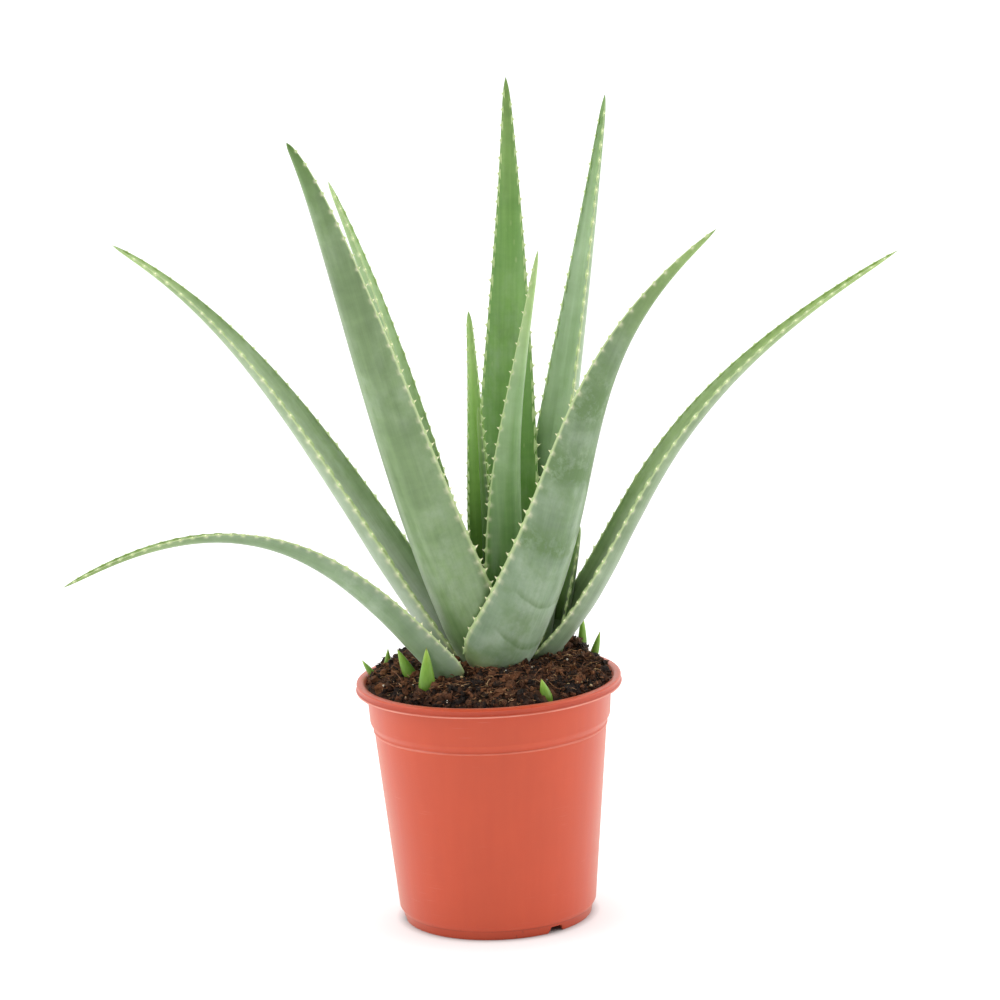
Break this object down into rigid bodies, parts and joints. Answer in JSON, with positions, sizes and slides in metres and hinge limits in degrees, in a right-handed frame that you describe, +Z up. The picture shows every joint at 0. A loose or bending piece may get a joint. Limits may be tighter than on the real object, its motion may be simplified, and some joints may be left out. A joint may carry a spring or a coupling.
{
  "type": "potted aloe plant",
  "caption": "Potted aloe: a rosette of tapering fleshy leaves on a short stem, with small shoots, rooted in soil in a round moulded nursery pot.",
  "frame": {"origin": "centre of the overall box in plan, at the bottom of the pot's foot ring; the pot's axis is within 2 mm of it", "axes": "+Z up along the pot's axis; the plant's front faces -Y; +X to its right as seen from the front"},
  "size_m": [0.531, 0.1901, 0.529],
  "materials": {
    "pot_plastic": "satin",
    "soil": "matte",
    "stem": "matte",
    "leaf": "satin",
    "young_leaf": "satin",
    "shoot": "satin"
  },
  "bodies": {
    "root": {"pot": "pot_plastic", "soil": "soil", "stem": "stem", "leaf_innermost": "young_leaf", "leaf_small_centre": "young_leaf", "leaf_narrow_centre": "young_leaf", "leaf_tall_centre": "young_leaf", "leaf_behind_left": "leaf", "leaf_tall_right": "leaf", "leaf_short_right": "leaf", "leaf_long_left": "leaf", "leaf_long_right": "leaf", "leaf_front_left": "leaf", "leaf_front_right": "leaf", "leaf_low_left": "leaf", "shoot_rim_left": "shoot", "shoot_back_left": "shoot", "shoot_leaning": "shoot", "shoot_upright": "shoot", "shoot_front": "shoot", "shoot_back_right": "shoot", "shoot_rim_right": "shoot"}
  },
  "joints": []
}
